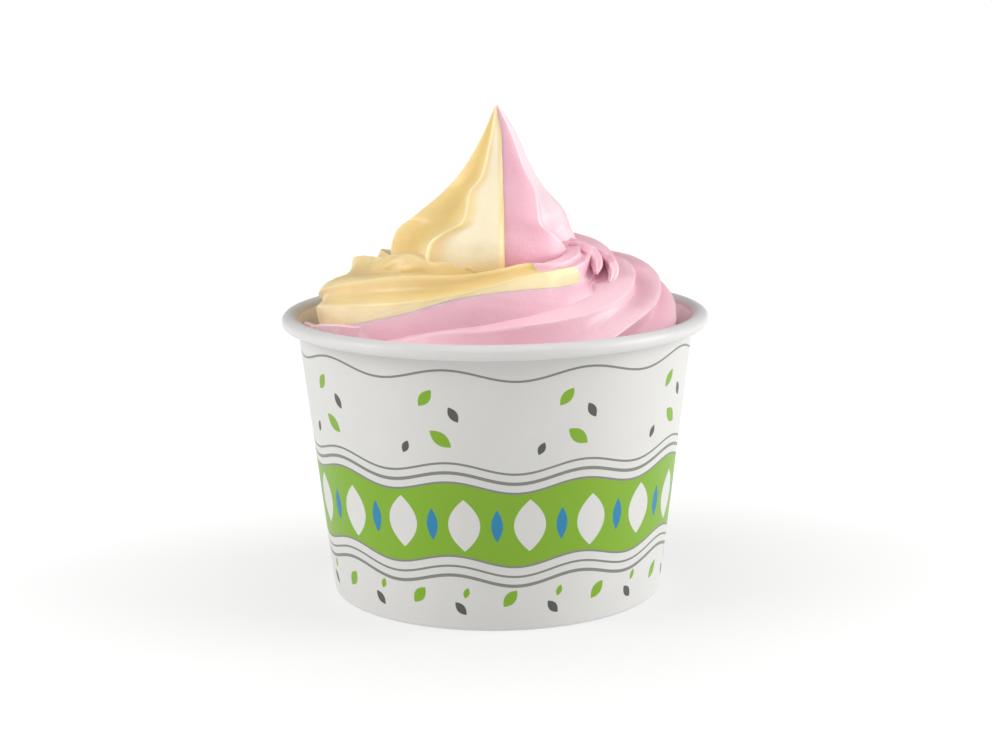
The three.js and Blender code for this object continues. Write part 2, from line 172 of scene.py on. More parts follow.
coil = {
    # angle round the cup (-90 is the front), radius of the coil, height of the rope's middle, rope radius
    "stations": [
        (-240, 25.5, 44.0, 9.0),
        (-190, 26.0, 49.5, 13.0),
        (-123, 26.2, 53.0, 14.3),
        (-90, 26.8, 55.6, 14.0),
        (0, 27.0, 61.8, 13.9),
        (45, 27.0, 62.0, 13.4),
        (90, 26.6, 62.3, 13.0),
        (140, 27.0, 62.6, 13.0),
        (180, 27.2, 63.5, 13.1),
        (270, 23.0, 66.0, 12.0),
        (312, 21.0, 66.6, 12.1),
        (340, 18.8, 67.8, 12.0),
        (364, 17.5, 68.4, 11.8),
        (400, 15.5, 70.0, 10.5),
        (444, 13.5, 71.0, 8.5),
    ],
    # angle round the cup, headings of the rope's eight ridges, heading at which the yellow ends
    "ridges": [
        (-240, 0, 45, 90, 135, 168, 190, 212, 290, 180),
        (-140, 0, 45, 90, 135, 168, 190, 212, 290, 180),
        (-115, 0, 45, 90, 135, 168, 190, 213, 296, 184),
        (-90, 0, 45, 90, 135, 174, 206, 237, 302, 190),
        (-64, 0, 45, 90, 135, 180, 222, 265, 304, 190),
        (-45, 0, 45, 90, 135, 180, 225, 280, 306, 190),
        (-20, 0, 45, 90, 135, 180, 225, 288, 319, 190),
        (30, 0, 45, 90, 135, 180, 225, 284, 336, 190),
        (130, 5, 46, 88, 128, 174, 208, 286, 330, 200),
        (180, 10, 50, 84, 114, 173, 191, 290, 332, 215),
        (211, 14, 55, 92, 130, 181, 207, 296, 334, 227),
        (235, 17, 60, 98, 146, 192, 224, 302, 337, 236),
        (255, 20, 65, 104, 156, 209, 235, 306, 340, 239),
        (272, 24, 70, 110, 165, 219, 241, 310, 343, 250),
        (285, 28, 74, 116, 170, 226, 246, 312, 346, 261),
        (300, 33, 79, 123, 174, 245, 257, 314, 348, 276),
        (311, 36, 82, 128, 178, 254, 267, 316, 350, 286),
        (331, 42, 87, 134, 184, 263, 277, 320, 355, 296),
        (444, 45, 90, 138, 190, 266, 280, 320, 357, 300),
    ],
    "heading": 13,
    "depth": 0.22,  # of the valleys, as a share of the rope's radius
    "depthParts": (1, 1, 1, 1, 1, 0.4, 0.5, 1),  # share of that depth in each of the eight
    # valley, counted from 0: angle round the cup and how much deeper the valley is there
    "deeper": {
        3: [(-240, 0), (228, 0), (250, 0.9), (285, 0.9), (303, 0), (444, 0)],
        5: [(-240, 0), (309, 0), (318, 0.9), (328, 0.7), (342, 0), (444, 0)],
        6: [(-240, 0), (-50, 0), (-30, 0.7), (-12, 0.7), (5, 0), (444, 0)],
    },
    # angle round the cup, how rounded the ridges are
    "rounding": [(-240, 0.08), (110, 0.1), (160, 0.5), (205, 0.4), (240, 0.08), (444, 0.08)],
    "skew": 0.65,  # under 1 the valleys lean towards the ridge before them
    "core": 4,  # mm, the rope stays this far off the cup's axis
    # angle round the cup and the heading at which the yellow starts: its end is a strip
    "yellowStart": [
        (-240, 45),
        (130, 46),
        (211, 55),
        (255, 65),
        (274, 71),
        (283, 170),
        (290, 238),
        (300, 253),
        (311, 263),
    ],
    "yellowEnd": 310,
    "endRound": 7,  # degrees over which the strip's end is rounded
    "endSteps": (0.45, 0.35, 0.25, 0.15, 0.08, 0.03),  # and shares of them at which it has more rings
    "squeeze": 0.03,  # degrees kept between points that the yellow's edges hold back
    "clearing": 0.3,  # mm of pink cut away round the yellow, which keeps specks of pink off its face
    "step": 2.0,
    "pointsPerRidge": 24,
    "stripPoints": 12,
    "chordPoints": 10,
    "partTurn": 144,
    # waves on the surface: height in mm, then for each of two sines what it takes of the angle round the cup and
    # of the heading, and its phase
    "waves": [
        (0.2, (1.7, 0, 40), (0.9, 2, 0)),
        (0.12, (5.3, 3, 70), (0, 0, 90)),
        (0.06, (23, 7, 0), (9.1, 0, 110)),
        (0.03, (0, 61, 0), (0, 0, 90)),
        (0.021, (0, 103, 31), (0, 0, 90)),
    ],
}

peak = {
    # height, radius at the ridges, how far its middle stands off the axis
    "stations": [
        (66.0, 15.5, -1.0),
        (71.0, 19.0, -1.6),
        (74.0, 20.5, -1.9),
        (77.0, 21.1, -2.1),
        (79.5, 20.6, -2.2),
        (82.5, 19.3, -2.1),
        (86.0, 16.9, -0.7),
        (91.0, 11.6, 0.5),
        (97.0, 7.2, 1.3),
        (103.0, 4.0, 1.6),
        (107.5, 1.6, 1.2),
        (109.6, 0.3, 0.9),
    ],
    # height, angles from the front of the ridge left of the split and of the next two
    "ridges": [
        (66.0, -28, 60, 94),
        (73.0, -28, 60, 94),
        (75.5, -35, 62, 93),
        (79.5, -37, 59, 92),
        (81.5, -35, 54, 94),
        (83.5, -28, 45, 99),
        (85.2, -21, 39, 105),
        (88.0, -23, 42, 109),
        (91.5, -31, 50, 112),
        (94.5, -25, 48, 112),
        (97.0, -26, 46, 110),
        (103.0, -30, 44, 108),
        (109.6, -30, 44, 108),
    ],
    "ridgeCount": 6,
    "depth": 0.2,
    "shallow": (0.45, 90, 108),  # share of the depth lost, and the heights between which it goes
    "rounding": 0.06,
    "skew": 0.9,
    "split": [(66, 2.2), (100, 2.2), (104, 2.1), (109.6, 0.9)],  # height, x of the plane between the flavours
    "rings": 130,
    "pointsPerRidge": 32,
    # how far each flavour fills the front valley, and the shares of its width between which that grows or fades
    "yellowFill": (0.75, 0.06, 0.38),
    "pinkFill": (0.3, 0.5, 0.85),
    "ripple": (0.12, 3, 14),  # mm, and what it takes of the angle and of the height
    "plainTip": (96, 108),  # heights between which the ripple fades
    "edgeRound": 1.2,
    "edgeFade": 6,  # mm, the peak's radius below which the yellow's edge is less rounded
    "proud": 0.06,  # mm, how far the yellow stands over the pink
    "capRise": 0.05,  # mm, its tip over the last ring
}


def closed(crests):
    return crests + [crests[0] + 360]


def spread(edges, count):
    # headings from each edge to the next, with a point on every edge
    return [low + (high - low) * (k / count) for low, high in zip(edges, edges[1:]) for k in range(count)]


def ridgeWave(crests, heading, parts, rounding, skew):
    # 0 on the ridges and up to 1 in the valleys between them, and the angle to the nearest ridge
    heading = crests[0] + np.mod(heading - crests[0], 360)
    edges = closed(crests)
    wave = np.zeros(np.shape(heading))
    reach = np.full(np.shape(heading), 360.0)
    for low, high, part in zip(edges, edges[1:], parts):
        gap = high - low
        share = np.clip((heading - low) / gap, 0, 1)
        bend = np.hypot(np.sin(math.pi * share ** skew), rounding) - rounding
        # valleys under 40 degrees wide are shallower, and so are those over 50
        depth = part * np.minimum(gap / 40, 1) * (1 - 0.3 * smoothStep(gap, 50, 90))
        inside = (heading >= low) & (heading < high)
        wave = wave + np.where(inside, depth * bend / (np.hypot(1, rounding) - rounding), 0)
        reach = np.minimum(reach, np.minimum(np.abs(heading - low), np.abs(heading - high)))
    return wave, reach


def ropeCrests(turn):
    return [along(coil["ridges"], turn, column) for column in range(1, 9)]


def ropeWave(turn, heading):
    rounding = along(coil["rounding"], turn, 1)
    parts = list(coil["depthParts"])
    for valley, rows in coil["deeper"].items():
        parts[valley] = parts[valley] + along(rows, turn, 1)
    return ridgeWave(ropeCrests(turn), heading, parts, rounding, coil["skew"])


def ropeLumps(turn, heading):
    def sine(byTurn, byHeading, phase):
        return np.sin(np.radians(byTurn * turn + byHeading * heading + phase))
    return sum(height * sine(*first) * sine(*second) for height, first, second in coil["waves"])


def ropePoints(turn, heading, swell=0.0, reach=1.0):
    coilRadius, height, radius = (along(coil["stations"], turn, column) for column in (1, 2, 3))
    wave, _ = ropeWave(turn, heading)
    surface = radius * (1 - coil["depth"] * wave) + ropeLumps(turn, heading) + swell
    angle = np.radians(turn + coil["heading"] - heading)
    r = np.maximum(coilRadius + reach * surface * np.cos(angle), coil["core"] - swell)
    azimuth = np.radians(turn)
    return np.stack([r * np.cos(azimuth), r * np.sin(azimuth), height + reach * surface * np.sin(angle)], -1)


def wholeHeadings(turns):
    # headings round the rope at each turn
    return np.stack(spread(closed(ropeCrests(turns)), coil["pointsPerRidge"]), 1)


def yellowHeadings(turns):
    # the yellow side, from the second ridge to the edge of the flavour
    crests = ropeCrests(turns)
    edge = along(coil["ridges"], turns, 9)
    columns = spread(crests[1:6], coil["pointsPerRidge"])
    columns += [crests[5] + (edge - crests[5]) * share for share in np.linspace(0, 1, coil["stripPoints"])]
    last = len(columns) - 1
    start = along(coil["yellowStart"], turns, 1)
    # the strip's end is rounded, short of a point
    past = np.clip((turns - coil["yellowEnd"] + coil["endRound"]) / coil["endRound"], 0, 0.995)
    narrow = (1 - np.sqrt(1 - past ** 2)) / 2
    start, edge = start + narrow * (edge - start), edge - narrow * (edge - start)
    columns = [np.minimum(column, edge - coil["squeeze"] * (last - k)) for k, column in enumerate(columns)]
    return np.stack([np.maximum(column, start + coil["squeeze"] * k) for k, column in enumerate(columns)], 1)


def ropeParts(name, headingsOf, end, swell=0.0, chord=0):
    # part turns, which are joined afterwards, because whole turns lie in each other; with chord points the
    # section is a sector of the rope with that many points on each straight side
    parts = []
    start = coil["stations"][0][0]
    while start < end:
        stop = min(start + coil["partTurn"], end)
        turns = np.linspace(start, stop, round((stop - start) / coil["step"]) + 1)
        if chord and stop == end:
            turns = np.append(turns, stop - coil["endRound"] * np.array(coil["endSteps"]))
            turns.sort()
        headings = headingsOf(turns)
        turn = turns[:, None]
        rings = ropePoints(turn, headings, swell)
        # the middle of each end lies inside the section
        middle = ropePoints(turn, headings.mean(1, keepdims=True), 0.0, 0.3 if chord else 0.0)
        if chord:
            share = np.linspace(0, 1, chord + 2)[1:-1, None]
            edgeOut, edgeIn = rings[:, -1:, :], rings[:, :1, :]
            axis = ropePoints(turn, headings[:, :1], 0.0, 0.0)
            rings = np.concatenate([rings, edgeOut + (axis - edgeOut) * share, axis,
                                    axis + (edgeIn - axis) * share], 1)
        parts.append(sweptObject(f"{name}_{len(parts)}", rings, middle[0, 0], middle[-1, 0]))
        start = stop
    return parts


def peakCrests(height):
    left, right, third = (along(peak["ridges"], height, column) for column in (1, 2, 3))
    rest = peak["ridgeCount"] - 2
    return [left, right] + [third + (left + 360 - third) * k / rest for k in range(rest)]


def peakFill(share, yellow):
    # how far the front valley is filled: the yellow swells over the pink beside it
    amount, low, high = peak["yellowFill"]
    swellAndPaintedLight = amount * smoothStep(share, low, high)
    if yellow:
        return swellAndPaintedLight
    amount, low, high = peak["pinkFill"]
    return np.minimum(amount * (1 - smoothStep(share, low, high)), swellAndPaintedLight)


def peakSurface(height, away, yellow):
    crests = peakCrests(height)
    wave, reach = ridgeWave(crests, away, (1,) * peak["ridgeCount"], peak["rounding"], peak["skew"])
    share = np.mod(away - crests[0], 360) / (crests[1] - crests[0])
    wave = wave * np.where(share < 1, 1 - peakFill(share, yellow), 1)
    loss, low, high = peak["shallow"]
    depth = peak["depth"] * (1 - loss * smoothStep(height, low, high))
    return along(peak["stations"], height, 1) * (1 - depth * wave), wave, reach


def peakRings(yellow):
    foot, tip = peak["stations"][0][0], peak["stations"][-1][0]
    height = np.linspace(foot, tip, peak["rings"])[:, None]
    away = np.concatenate(spread(closed(peakCrests(height)), peak["pointsPerRidge"]), 1)
    radius, _, _ = peakSurface(height, away, yellow)
    swing, byAngle, byHeight = peak["ripple"]
    ripple = swing * np.sin(np.radians(byAngle * away + byHeight * height))
    radius = radius + ripple * (1 - smoothStep(height, *peak["plainTip"]))
    if yellow:
        radius = radius + peak["proud"]
    azimuth = np.radians(away - 90)
    x = along(peak["stations"], height, 2) + radius * np.cos(azimuth)
    return np.stack(np.broadcast_arrays(x, radius * np.sin(azimuth), height), -1)


def wholePeak():
    rings = peakRings(False)
    ends = (rings[0, 0, 2], rings[-1, 0, 2] + peak["capRise"])
    return sweptObject("peak", rings, *[(along(peak["stations"], z, 2), 0, z) for z in ends])


def yellowPeak():
    # the left half, its edge at the split rounded over
    rings = peakRings(True)
    x, y, z = rings[..., 0], rings[..., 1], rings[..., 2]
    split = along(peak["split"], z, 1)
    over = np.clip(peak["edgeRound"] - (split - x), 0, peak["edgeRound"])
    tuck = peak["edgeRound"] - np.sqrt(peak["edgeRound"] ** 2 - over ** 2)
    tuck = tuck * np.minimum(1.0, along(peak["stations"], z, 1) / peak["edgeFade"])
    y = y - np.sign(y) * np.minimum(tuck, np.abs(y))
    rings = np.stack([np.minimum(x, split), y, z], -1)
    # its ends stand clear of the whole peak's, a little left of the middle
    ends = (z[0, 0] - 0.05, z[-1, 0] + 0.03)
    return sweptObject("peak_left", rings, *[(along(peak["stations"], h, 2) - 0.2, 0, h) for h in ends])


fill = {"height": 53, "shoulder": 2.5, "middle": 30, "bottom": 6.55, "gap": 0.3, "segments": 120}

cup = {
    "height": 64,
    "rimRadius": 48,
    "rollHalfWidth": 1.85,
    "rollHalfHeight": 1.65,
    "rollArc": (176, -124, 34),  # degrees round the roll's section from the wall to its end, and steps
    "paper": 0.5,
    "footRadius": 37.45,
    "wallTopRadius": 44.45,
    "wallTopHeight": 60.9,
    "wallFootHeight": 1.1,
    "wallSteps": 24,
    "hemWidth": 2.1,
    "hemHeight": 5.0,
    "hemMiddle": 3.0,
    "hemSteps": 12,
    "segments": 220,
    "seamDegrees": 171,  # the lap seam, behind
    "seamWidth": 7.0,
    "seamRadius": 41,  # mm, where that width is measured
    "seamSteps": (-1.5, -1.0, -0.5, 0, 0.9, 0.94, 0.97, 1.0, 1.03, 1.5),  # in half widths from its middle
    "lapHeight": 0.32,  # mm, how far the lapped edge stands proud
    "lapRise": (-1.4, -0.4),  # half widths between which it rises and drops
    "lapDrop": (0.94, 1.0),
    "lapFoot": (0.2, 1.5),  # heights between which it grows from the foot
}
wallSlope = (cup["wallTopRadius"] - cup["footRadius"]) / (cup["wallTopHeight"] - cup["wallFootHeight"])


def wallRadius(height):
    # outside of the wall
    return cup["footRadius"] + wallSlope * (height - cup["wallFootHeight"])


def fillObject():
    def edge(height):
        return wallRadius(height) - cup["paper"] - fill["gap"]
    top, shoulder = fill["height"], fill["shoulder"]
    profile = [(edge(height), height) for height in (fill["bottom"], fill["middle"])]
    profile += arcPoints((edge(top - shoulder) - shoulder, top - shoulder), (shoulder, shoulder), 0, 90, 8)
    angles = np.linspace(0, 2 * math.pi, fill["segments"], endpoint=False)
    rings = np.array([[(r * math.sin(a), -r * math.cos(a), z) for a in angles] for r, z in profile])
    return sweptObject("fill", rings, (0, 0, fill["bottom"]), (0, 0, top))


# folds between the peak and the coil: x, y, height and radius along each
folds = {
    "yellow": [
        [(-26.5, -7.5, 73.0, 0.6), (-23.0, -10.5, 75.0, 2.5), (-18.8, -13.5, 75.3, 3.3),
         (-14.3, -16.4, 74.2, 3.2), (-10.3, -18.8, 72.4, 2.2), (-7.0, -20.3, 70.6, 0.7)],
    ],
    "pink": [
        [(16.5, -7.0, 79.4, 0.4), (19.0, -8.8, 79.0, 1.2), (21.3, -11.2, 77.8, 1.5),
         (22.3, -14.0, 76.2, 1.4), (22.0, -17.0, 74.4, 0.5)],
        [(20.5, -7.5, 78.8, 0.4), (23.2, -9.6, 77.7, 1.1), (25.4, -12.2, 76.0, 1.3),
         (25.9, -15.0, 74.0, 1.1), (25.0, -17.6, 72.2, 0.4)],
    ],
    "rings": 60,
    "sides": 48,
    "ripples": 5,
    "ripple": 0.15,  # mm
    "tip": 0.3,  # mm, how far the ends are drawn out
}


def foldObject(fold):
    centres = np.array([row[:3] for row in fold], float)
    lengths = np.concatenate([[0], np.cumsum(np.linalg.norm(np.diff(centres, axis=0), axis=1))])
    rows = [(length,) + row for length, row in zip(lengths, fold)]
    place = np.linspace(0, lengths[-1], folds["rings"])
    centre = np.stack([along(rows, place, column) for column in (1, 2, 3)], 1)
    direction = np.gradient(centre, axis=0)
    direction /= np.linalg.norm(direction, axis=1, keepdims=True)
    side = np.stack([-direction[:, 1], direction[:, 0], np.zeros(len(place))], 1)
    side /= np.linalg.norm(side, axis=1, keepdims=True)
    up = np.cross(direction, side)
    angle = np.radians(np.arange(0, 360, 360 / folds["sides"]))[None, :, None]
    ripple = folds["ripple"] * np.sin(folds["ripples"] * angle + place[:, None, None])
    radius = along(rows, place, 4)[:, None, None] + ripple
    rings = centre[:, None] + radius * (np.cos(angle) * side[:, None] + np.sin(angle) * up[:, None])
    tip = folds["tip"]
    return sweptObject("fold", rings, centre[0] - tip * direction[0], centre[-1] + tip * direction[-1])


# a lip of pink that leans on the wall: angle round the cup, radius and height of its edge
lip = {
    "edge": [
        (168, 42.2, 52.5),
        (176, 42.9, 58.5),
        (184, 43.1, 61.8),
        (193, 43.0, 62.8),
        (203, 42.2, 63.6),
        (212, 39.8, 64.3),
        (221, 37.2, 64.3),
        (230, 35.0, 63.0),
        (240, 34.5, 55.0),
    ],
    "foot": 47,
    "inner": 29,
    "innerHeight": 57,
    "innerDrop": 4,  # mm, at least this far under the edge
    "thickness": 1.0,
    "clearance": 0.7,
    "ripples": [(0.12, 23), (0.08, 41)],  # height in mm, and how often round the cup
    "shoulder": [(4, 3), (2.4, 1.4)],  # points inside the edge: mm inwards and down
    "rings": 100,
}


def lipObject():
    turn = np.linspace(lip["edge"][0][0], lip["edge"][-1][0], lip["rings"])
    radius, height = (along(lip["edge"], turn, column) for column in (1, 2))
    for ripple, count in lip["ripples"]:
        height = height + ripple * np.sin(np.radians(turn * count))
    foot, half = lip["foot"], lip["thickness"] / 2
    outer = wallRadius(foot) - cup["paper"] - lip["clearance"]
    inner = np.minimum(lip["innerHeight"], height - lip["innerDrop"])
    section = [(outer, foot), (lip["inner"], foot), (lip["inner"], inner)]
    section += [(radius - inwards, height - down) for inwards, down in lip["shoulder"]]
    section += arcPoints((radius - half, height - half), (half, half), 150, -30, 8)
    azimuth = np.radians(turn)
    rings = np.stack([np.stack(np.broadcast_arrays(r * np.cos(azimuth), r * np.sin(azimuth), z), 1)
                      for r, z in section], 1)
    middles = [np.append((lip["inner"] + outer) / 2 * np.array([math.cos(a), math.sin(a)]), foot + 1)
               for a in (azimuth[0], azimuth[-1])]
    return sweptObject("lip", rings, *middles)


def buildYogurt():
    pink = wholePeak()
    pink.name = "yogurt_pink_piece"
    rope = ropeParts("rope", wholeHeadings, coil["stations"][-1][0])
    cut(pink, rope + [fillObject(), lipObject()] + [foldObject(fold) for fold in folds["pink"]], "UNION")
    yellow = yellowPeak()
    yellow.name = "yogurt_yellow_piece"
    cut(yellow, [foldObject(fold) for fold in folds["yellow"]], "UNION")
    beside = copyOf(yellow, "cutter")
    side, clearing = (ropeParts(name, yellowHeadings, coil["yellowEnd"], peak["proud"] + more, coil["chordPoints"])
                      for name, more in (("yellow", 0.0), ("clearing", coil["clearing"])))
    cut(yellow, side, "UNION")
    cut(pink, clearing + [beside], "DIFFERENCE")
    return pink, yellow


def ridgeHighlightFalloff(reach, radius):
    # 1 on a ridge, and next to nothing two widths of its painted highlight away
    return np.exp(-(np.radians(reach) * radius / softServe["highlightWidth"]) ** 2)


def reliefOf(points):
    # for each point of the surface, 0 to 1: how deep it lies in a valley, which sets a painted shade, how near to a
    # ridge's edge, which sets a painted highlight, and how much painted light and painted sheen lie there
    x, y, z = points.T
    azimuth = np.degrees(np.arctan2(y, x))
    r = np.hypot(x, y)
    best = np.full(len(points), 1e9)
    hollow, ridgeHighlight, paintedLightOnRope = (np.zeros(len(points)) for _ in range(3))
    for turn in (azimuth - 360, azimuth, azimuth + 360):
        inside = (turn >= coil["stations"][0][0]) & (turn <= coil["stations"][-1][0])
        coilRadius, height, radius = (along(coil["stations"], turn, column) for column in (1, 2, 3))
        heading = turn + coil["heading"] - np.degrees(np.arctan2(z - height, r - coilRadius))
        wave, reach = ropeWave(turn, heading)
        gap = np.abs(np.hypot(z - height, r - coilRadius) - radius * (1 - coil["depth"] * wave))
        better = inside & (gap < best)
        best = np.where(better, gap, best)
        hollow = np.where(better, wave, hollow)
        ridgeHighlight = np.where(better, softServe["ropeHighlight"] * ridgeHighlightFalloff(reach, radius), ridgeHighlight)
        crests = ropeCrests(turn)
        around = crests[0] + np.mod(heading - crests[0], 360)
        # the lower strip, between the sixth ridge and the yellow's edge, with a degree to spare, gets more painted
        # light
        strip = smoothStep(around, crests[5] - 1, crests[5] + 4) * (around < along(coil["ridges"], turn, 9) + 1)
        light = along(softServe["paintedLightOnCoil"], turn, 1) + strip * along(softServe["paintedLightOnCoil"], turn, 2)
        paintedLightOnRope = np.where(better, light, paintedLightOnRope)
    centre = along(peak["stations"], z, 2)
    away = np.degrees(np.arctan2(y, x - centre)) + 90
    radius, wave, reach = peakSurface(z, away, False)
    onPeak = (np.abs(np.hypot(x - centre, y) - radius) < best) & (z > peak["stations"][0][0])
    hollow = np.where(onPeak, wave, hollow)
    left, right, third = peakCrests(z)[:3]
    # painted sheen on the peak: the yellow's front face up to the split and the pink's flank right of it, fainter
    # low down
    front = smoothStep((away - left) / (right - left), *softServe["sheenFront"])
    toSplit = along(peak["split"], z, 1) - x
    flank = (away - right) / (third - right)
    growFrom, growTo, fadeFrom, fadeTo = softServe["sheenFlank"]
    least, low, high = softServe["sheenFoot"]
    paintedSheenYellow = front * smoothStep(toSplit, *softServe["sheenSplit"]) * (away < right)
    paintedSheenPink = smoothStep(flank, growFrom, growTo) * (1 - smoothStep(flank, fadeFrom, fadeTo))
    paintedSheenPink = paintedSheenPink * (least + (1 - least) * smoothStep(z, low, high))
    paintedLight = np.where(toSplit > 0, paintedSheenYellow, paintedSheenPink)
    return (hollow, np.where(onPeak, ridgeHighlightFalloff(reach, radius), ridgeHighlight),
            np.where(onPeak, paintedLight, np.clip(paintedLightOnRope, 0, 1)))


def markRelief(piece):
    mesh = piece.data
    points = np.empty(len(mesh.vertices) * 3)
    mesh.vertices.foreach_get("co", points)
    for name, values in zip(("hollow", "ridgeHighlight", "paintedLight"), reliefOf(points.reshape(-1, 3) / mm)):
        mesh.attributes.new(name, "FLOAT", "POINT").data.foreach_set("value", values)


# Paper cup

def sheetProfile(line, thickness):
    # both faces of a sheet that follows a line of (radius, height)
    line = np.array(line, float)
    segments = np.diff(line, axis=0)
    segments /= np.linalg.norm(segments, axis=1, keepdims=True)
    first = np.vstack([segments[:1], segments])
    second = np.vstack([segments, segments[-1:]])
    direction = first + second
    direction /= np.linalg.norm(direction, axis=1, keepdims=True)
    stretch = 1 / np.sum(direction * first, axis=1, keepdims=True)
    normal = np.stack([direction[:, 1], -direction[:, 0]], 1) * stretch * thickness / 2
    return np.vstack([line + normal, (line - normal)[::-1]])


def arcPoints(middle, radii, startDegrees, endDegrees, steps):
    angles = np.radians(np.linspace(startDegrees, endDegrees, steps + 1))
    return [(middle[0] + radii[0] * math.cos(a), middle[1] + radii[1] * math.sin(a)) for a in angles]


def buildCupWall():
    half = cup["paper"] / 2
    foldRadius = cup["footRadius"] - cup["hemWidth"] + half
    wallFoot = cup["footRadius"] - half
    bend = (wallFoot - foldRadius) / 2
    line = [(foldRadius, cup["hemHeight"]), (foldRadius, cup["hemMiddle"])]
    line += arcPoints((foldRadius + bend, half + bend), (bend, bend), 180, 360, cup["hemSteps"])
    for share in np.linspace(1 / (cup["wallSteps"] + 1), 1, cup["wallSteps"]):
        height = cup["wallFootHeight"] + share * (cup["wallTopHeight"] - cup["wallFootHeight"])
        line.append((wallRadius(height) - half, height))
    rollMiddle = (cup["rimRadius"] - cup["rollHalfWidth"], cup["height"] - cup["rollHalfHeight"])
    rollRadii = (cup["rollHalfWidth"] - half, cup["rollHalfHeight"] - half)
    rollSteps = cup["rollArc"][2]
    line += arcPoints(rollMiddle, rollRadii, *cup["rollArc"])
    profile = sheetProfile(line, cup["paper"])

    seam = math.radians(cup["seamDegrees"])
    seamHalf = cup["seamWidth"] / 2 / cup["seamRadius"]
    plain = np.linspace(0, 2 * math.pi, cup["segments"], endpoint=False)
    # no plain steps in the seam or just beside it
    plain = plain[np.abs(plain - seam) > seamHalf * 1.6]
    angles = np.sort(np.concatenate([plain, np.array(cup["seamSteps"]) * seamHalf + seam]))
    outside = len(line)

    def lap(angle, height, index):
        # the lapped edge stands proud of the sheet under it and fades into the wall on its other side
        across = (angle - seam) / seamHalf
        raised = smoothStep(across, *cup["lapRise"]) * (1 - smoothStep(across, *cup["lapDrop"]))
        return cup["lapHeight"] * raised * (index < outside) * smoothStep(height, *cup["lapFoot"])

    piece = turnedObject("cup_wall_piece", profile, angles, lap)
    # the outer face carries the print; the inner face is bare, in a lighter tone that paints light into the shaded
    # inside
    printed = [index < outside - rollSteps - 1 for index in range(len(profile))]
    inner = [index >= outside + rollSteps for index in range(len(profile))]
    for name, values in (("printed", printed), ("inner", inner)):
        piece.data.attributes.new(name, "FLOAT", "POINT").data.foreach_set("value", values * len(angles))
    return piece


baseDisc = {
    "height": 6.25,
    "clearance": 0.3,
    "skirtFoot": 1.3,
    "skirtMiddle": 3.0,
    "lean": (0.05, 0.15),  # mm, how far the skirt leans outwards halfway up and at the top
    "corner": 1.2,
    "sag": 0.12,  # mm, in the middle
    "rings": (32.5, 32.0, 28.0, 20.0, 12.0, 5.0, 0.0),
    "segments": 160,
}


def buildCupBase():
    half = cup["paper"] / 2
    disc = baseDisc["height"] - half
    skirt = cup["footRadius"] - cup["paper"] - baseDisc["clearance"] - half
    halfway, top = baseDisc["lean"]
    corner, sag = baseDisc["corner"], baseDisc["sag"]
    line = [(skirt, baseDisc["skirtFoot"]), (skirt + halfway, baseDisc["skirtMiddle"])]
    line += arcPoints((skirt + top - corner, disc - corner), (corner, corner), 0, 90, 8)
    line += [(r, disc - sag * (1 - r / skirt)) for r in baseDisc["rings"]]
    profile = sheetProfile(line, cup["paper"])
    profile[:, 0] = np.maximum(profile[:, 0], 0.0)
    angles = np.linspace(0, 2 * math.pi, baseDisc["segments"], endpoint=False)
    piece = turnedObject("cup_base_piece", profile, angles)
    # the rings at the axis become one point
    cleaner = bmesh.new()
    cleaner.from_mesh(piece.data)
    bmesh.ops.remove_doubles(cleaner, verts=cleaner.verts, dist=1e-6)
    bmesh.ops.recalc_face_normals(cleaner, faces=cleaner.faces)
    cleaner.to_mesh(piece.data)
    cleaner.free()
    return piece


# Materials

noiseSpan = (0.3, 0.7)  # nearly all of a noise's values lie between these

softServe = {
    "iceGrain": 0.35,  # mm, coarser than real ice crystals so that it shows
    "airBubble": 1.8,  # mm, dimples that whipped-in air leaves
    "cloud": 12,  # mm, slow changes of tone
    "tone": (0.95, 1.04),
    "roughness": (0.42, 0.58),
    "bump": (0.5, 0.1),  # strength and mm
    "bubbleShare": 2.5,  # how much more the dimples count in it than the grain
    "scatterDepth": 2.5,  # mm
    # how a depth in a valley and a nearness to a ridge's edge become shares of painted shade and painted highlight
    "hollowMap": (0.15, 0.9, 0.0, 0.72),
    "ridgeHighlightMap": (0.2, 1.0, 0.0, 0.85),
    "paintedLightShare": 0.8,
    "highlightWidth": 0.4,  # mm, the painted highlight along a ridge
    "ropeHighlight": 0.55,  # how strong that painted highlight is on the coil, beside the peak's
    # where the peak has a painted sheen: share of the front valley and mm from the split for the yellow; share of
    # the valley right of the split for the pink, where it grows and fades, and its least with the heights where it
    # grows
    "sheenFront": (0.0, 0.18),
    "sheenSplit": (0.2, 1.6),
    "sheenFlank": (0.0, 0.14, 0.8, 1.1),
    "sheenFoot": (0.4, 77, 88),
    # angle round the cup, how much painted light lightens the coil there and how much more its lower strip gets
    "paintedLightOnCoil": [(-240, 0.0, 0.0), (-85, 0.0, 0.0), (-60, 0.25, 0.0), (-30, 0.3, 0.0), (10, 0.05, 0.0),
                (150, 0.05, 0.1), (190, 0.2, 0.3), (225, 0.15, 0.35), (245, 0.0, 0.5), (285, 0.0, 0.5),
                (311, 0.0, 0.4), (444, 0.0, 0.0)],
    # besides its body colour, each flavour has a painted highlight for ridges, a painted shade for valleys and a
    # painted sheen
    "strawberry": {"body": "#F4C2CF", "ridge": "#FCE2E9", "hollow": "#DE98AD", "paintedLight": "#FCE6EC",
                   "scatter": (1.0, 0.6, 0.55)},
    "mango": {"body": "#F2D592", "ridge": "#FDEEC8", "hollow": "#E3C173", "paintedLight": "#FEF2D8",
              "scatter": (1.0, 0.75, 0.4)},
}


